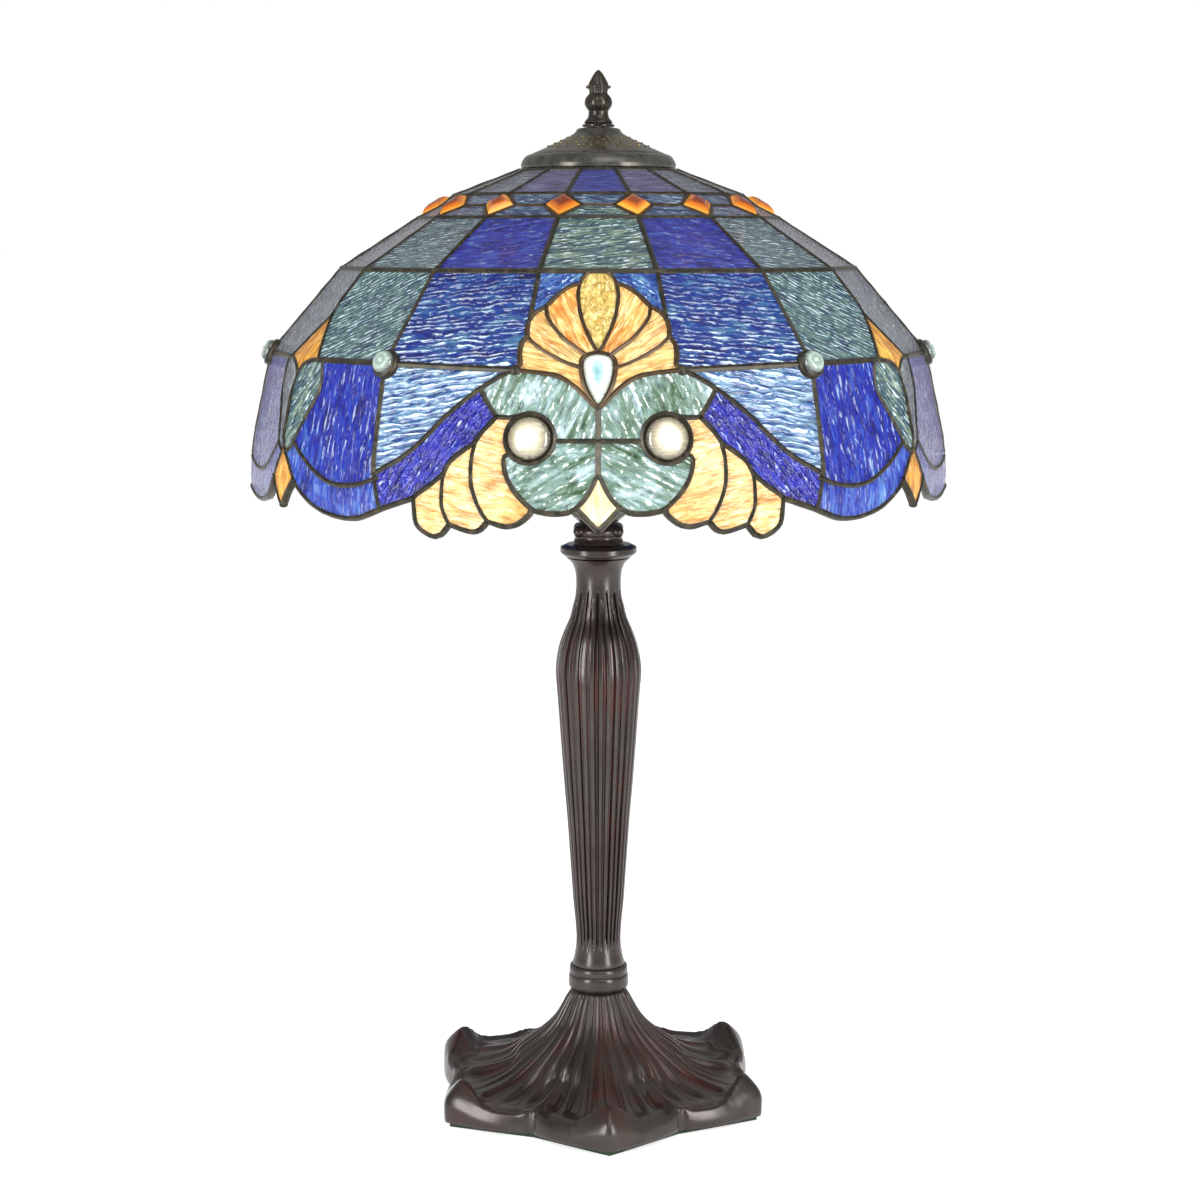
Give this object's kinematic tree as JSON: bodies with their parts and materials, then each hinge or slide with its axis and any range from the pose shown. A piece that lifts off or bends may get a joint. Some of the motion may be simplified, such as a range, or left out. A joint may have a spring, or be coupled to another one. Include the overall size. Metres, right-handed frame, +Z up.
{
  "type": "leaded glass table lamp",
  "caption": "Table lamp with a domed leaded-glass shade, scalloped lower edge, pierced cap and finial, on a fluted column with a lobed cast base.",
  "frame": {"origin": "centre of the underside of the felt pad, on the lamp's axis at table level", "axes": "+Z up along the column; -Y is the front, where one shell motif faces"},
  "size_m": [0.3962, 0.3944, 0.602],
  "materials": {
    "bronze_paint": "dark bronze-brown paint with mahogany red in the grooves, satin",
    "antique_metal": "antique bronze plating, worn to gold on the edges",
    "steel": "zinc-plated steel",
    "brass": "plain brass",
    "lead_came": null,
    "felt": "dark green felt",
    "black_plastic": "moulded nylon",
    "porcelain": "glazed white porcelain",
    "cobalt_glass": "rippled cobalt-blue art glass",
    "grey_green_glass": "streaky grey-green art glass",
    "blue_grey_glass": "streaky blue-grey art glass",
    "aqua_glass": "pale aqua art glass with green streaks",
    "amber_glass": "ribbed amber and cream art glass",
    "amber_jewel": "faceted pressed amber glass",
    "clear_jewel": "pressed near-clear glass",
    "bulb_glass": "frosted bulb glass"
  },
  "bodies": {
    "stand": {"base_casting": "bronze_paint", "base_pad": "felt", "base_washer": "steel", "base_lock_washer": "steel", "base_nut": "steel", "cord_inlet_bush": "black_plastic", "central_rod": "steel", "collar_ring": "bronze_paint", "column": "bronze_paint", "column_cap": "bronze_paint", "cluster_neck": "bronze_paint", "cluster_body": "antique_metal", "left_socket_shell": "antique_metal", "right_socket_shell": "antique_metal", "left_socket_insert": "porcelain", "right_socket_insert": "porcelain", "riser": "steel", "riser_lock_nut": "brass"},
    "shade_rest": {"shade_rest_washer": "brass"},
    "shade": {"shade_spider": "brass", "crown_glass": "grey_green_glass", "jewel_band_glass": "blue_grey_glass", "upper_glass": "cobalt_glass", "lower_glass": "cobalt_glass", "lead_ring_1": "lead_came", "lead_ring_2": "lead_came", "lead_ring_3": "lead_came", "lead_ring_4": "lead_came", "rim_came": "lead_came", "front_skirt_glass": "cobalt_glass", "front_teardrop_jewel": "clear_jewel", "front_left_cabochon": "clear_jewel", "front_left_small_jewel": "clear_jewel", "front_right_cabochon": "clear_jewel", "front_right_small_jewel": "clear_jewel", "right_skirt_glass": "cobalt_glass", "right_teardrop_jewel": "clear_jewel", "right_left_cabochon": "clear_jewel", "right_left_small_jewel": "clear_jewel", "right_right_cabochon": "clear_jewel", "right_right_small_jewel": "clear_jewel", "left_skirt_glass": "cobalt_glass", "left_teardrop_jewel": "clear_jewel", "left_left_cabochon": "clear_jewel", "left_left_small_jewel": "clear_jewel", "left_right_cabochon": "clear_jewel", "left_right_small_jewel": "clear_jewel"},
    "cap": {"heat_cap": "antique_metal"},
    "finial_carrier": {"finial_washer": "antique_metal"},
    "finial": {"finial": "antique_metal"},
    "left_bulb_carrier": {"left_bulb_contact": "steel"},
    "left_bulb": {"left_bulb_cap": "brass", "left_bulb_glass": "bulb_glass"},
    "right_bulb_carrier": {"right_bulb_contact": "steel"},
    "right_bulb": {"right_bulb_cap": "brass", "right_bulb_glass": "bulb_glass"}
  },
  "joints": [
    {"name": "shade_turn", "type": "hinge", "parent": "stand", "child": "shade_rest", "pos_m": [0, 0, 0.5394], "axis": [0, 0, 1], "continuous": true},
    {"name": "shade_lift", "type": "slide", "parent": "shade_rest", "child": "shade", "axis": [0, 0, 1], "range_m": [0, 0.24]},
    {"name": "cap_lift", "type": "slide", "parent": "shade", "child": "cap", "axis": [0, 0, 1], "range_m": [0, 0.06]},
    {"name": "finial_rise", "type": "slide", "parent": "cap", "child": "finial_carrier", "axis": [0, 0, 1], "range_m": [0, 0.009]},
    {"name": "finial_turn", "type": "hinge", "parent": "finial_carrier", "child": "finial", "pos_m": [0, 0, 0.58], "axis": [0, 0, 1], "range_deg": [0, 3240]},
    {"name": "left_bulb_withdraw", "type": "slide", "parent": "stand", "child": "left_bulb_carrier", "axis": [-0.866, 0, 0.5], "range_m": [0, 0.02172]},
    {"name": "left_bulb_turn", "type": "hinge", "parent": "left_bulb_carrier", "child": "left_bulb", "pos_m": [0, 0, 0.362], "axis": [-0.866, 0, 0.5], "range_deg": [0, 2160]},
    {"name": "right_bulb_withdraw", "type": "slide", "parent": "stand", "child": "right_bulb_carrier", "axis": [0.866, 0, 0.5], "range_m": [0, 0.02172]},
    {"name": "right_bulb_turn", "type": "hinge", "parent": "right_bulb_carrier", "child": "right_bulb", "pos_m": [0, 0, 0.362], "axis": [0.866, 0, 0.5], "range_deg": [0, 2160]}
  ],
  "couplings": [
    {"joint": "finial_turn", "follows": "finial_rise", "rad_per_m": 6283.2},
    {"joint": "left_bulb_turn", "follows": "left_bulb_withdraw", "rad_per_m": 1735.7},
    {"joint": "right_bulb_turn", "follows": "right_bulb_withdraw", "rad_per_m": 1735.7}
  ]
}
